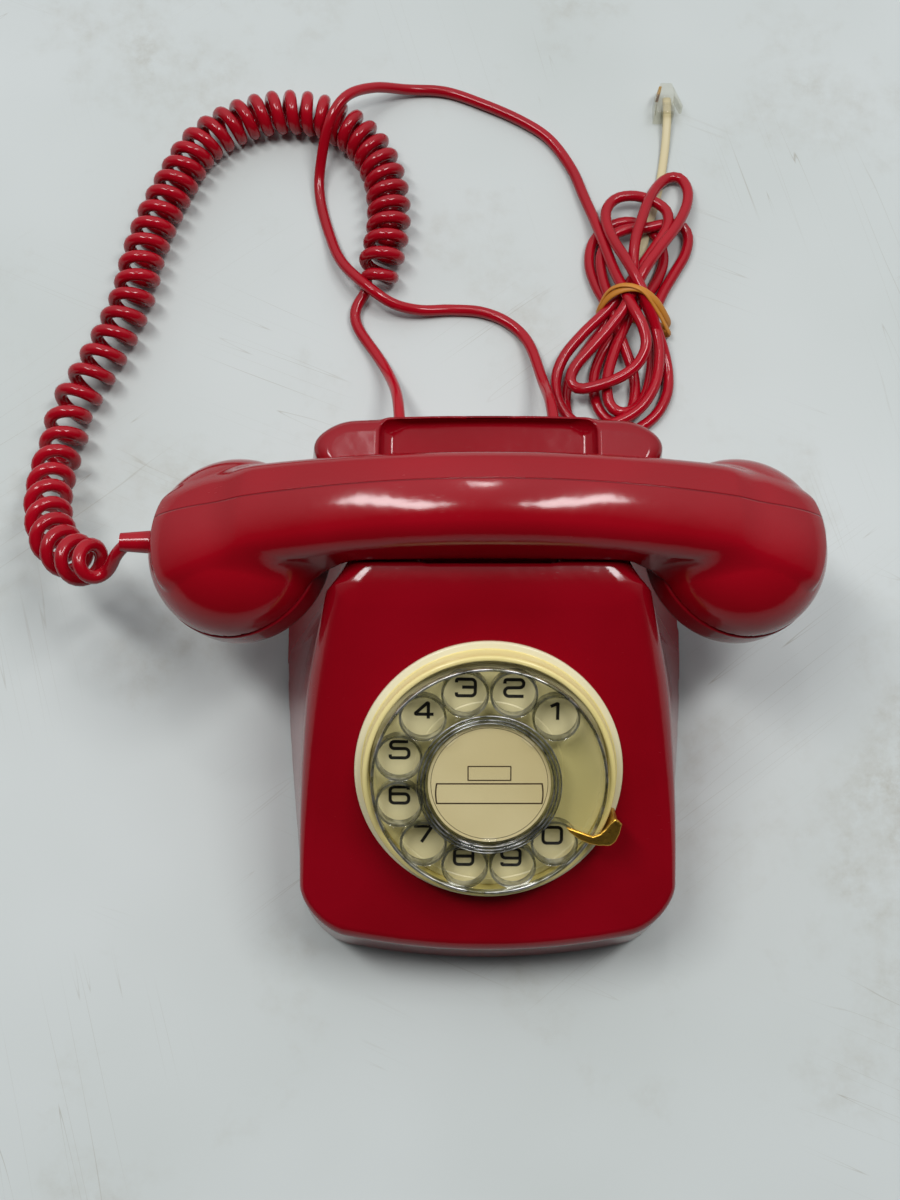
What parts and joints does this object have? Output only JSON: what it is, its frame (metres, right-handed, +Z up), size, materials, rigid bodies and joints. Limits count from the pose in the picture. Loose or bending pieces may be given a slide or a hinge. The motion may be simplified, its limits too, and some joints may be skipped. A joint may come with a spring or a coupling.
{
  "type": "rotary dial telephone",
  "caption": "Red desk telephone with a rotary dial on its sloping face, a handset across its cradle, a curly handset cord and a long line cord tied in a hank.",
  "frame": {"origin": "under the middle of the telephone without its cords, on the surface that it stands on", "axes": "+X to the telephone's right as its user sees it, +Y to its rear, +Z up"},
  "size_m": [0.2925, 0.365, 0.125],
  "materials": {
    "red_shell": "polished",
    "red_cord": "satin",
    "cream_ring": "satin",
    "number_plate": "satin",
    "clear_plastic": "polished",
    "grey_ring": "polished",
    "paper_card": "matte",
    "gold_metal": "polished",
    "brass": "satin",
    "steel": "satin",
    "plated_sheet": "satin",
    "spring_steel": "satin",
    "white_nylon": "satin",
    "brown_laminate": "matte",
    "board": "satin",
    "winding": "satin",
    "capacitor_can": "satin",
    "black_plastic": "satin",
    "foot_rubber": "matte",
    "orange_rubber": "satin",
    "beige_lead": "satin"
  },
  "bodies": {
    "telephone": {"case": "red_shell", "base_plate": "plated_sheet", "rubber_feet": "foot_rubber", "case_screws": "steel", "dial_bezel": "cream_ring", "number_plate": "number_plate", "finger_stop": "gold_metal", "dial_chassis": "steel", "dial_screws": "steel", "return_spring": "spring_steel", "pulse_contacts": "brown_laminate", "hook_frame": "steel", "hook_contacts": "brass", "circuit_board": "board", "induction_coil": "winding", "capacitor": "capacitor_can", "terminal_block": "white_nylon", "ringer_bracket": "steel", "ringer_coil": "winding", "gong_large": "steel", "gong_small": "steel", "gong_posts": "steel", "curly_cord": "red_cord", "curly_tail": "red_cord", "cord_boot_left": "red_cord", "cord_boot_right": "red_cord", "line_cord": "red_cord", "cord_hank": "red_cord", "rubber_band": "orange_rubber", "flat_lead": "beige_lead", "modular_plug": "clear_plastic", "plug_contacts": "gold_metal"},
    "dial": {"finger_wheel": "clear_plastic", "hub_ring": "grey_ring", "number_card": "paper_card", "card_cover": "clear_plastic", "dial_shaft": "steel", "main_gear": "brass"},
    "pulse_wheel": {"pulse_gear": "white_nylon"},
    "hook": {"hook_plunger_left": "white_nylon", "hook_plunger_right": "white_nylon", "hook_bar": "steel"},
    "striker": {"clapper": "brass"},
    "handset": {"handset_shell": "red_shell", "earpiece_cap": "red_shell", "mouthpiece_cap": "red_shell", "receiver_capsule": "steel", "transmitter_capsule": "black_plastic", "handset_boot": "red_cord"}
  },
  "joints": [
    {"name": "dial_turn", "type": "hinge", "parent": "telephone", "child": "dial", "pos_m": [0, -0.03971, 0.0685], "axis": [0, 0.5, -0.866], "range_deg": [0, 330], "stiffness_Nm_per_rad": 0.004, "springref_deg": -34.38},
    {"name": "pulse_turn", "type": "hinge", "parent": "telephone", "child": "pulse_wheel", "pos_m": [0, -0.07218, 0.04975], "axis": [0, 0.5, -0.866], "range_deg": [-1320, 0]},
    {"name": "hook_press", "type": "slide", "parent": "telephone", "child": "hook", "axis": [0, 0, 1], "range_m": [0, 0.005]},
    {"name": "striker_swing", "type": "hinge", "parent": "telephone", "child": "striker", "pos_m": [0.0005, -0.026, 0.035], "axis": [0, 0, 1], "range_deg": [-2, 2], "stiffness_Nm_per_rad": 0.002},
    {"name": "handset_lift", "type": "slide", "parent": "telephone", "child": "handset", "axis": [0, 0, 1], "range_m": [0, 0.1]}
  ],
  "couplings": [
    {"joint": "pulse_turn", "follows": "dial_turn", "ratio": -4},
    {"joint": "hook_press", "follows": "handset_lift", "ratio": 0.05}
  ]
}
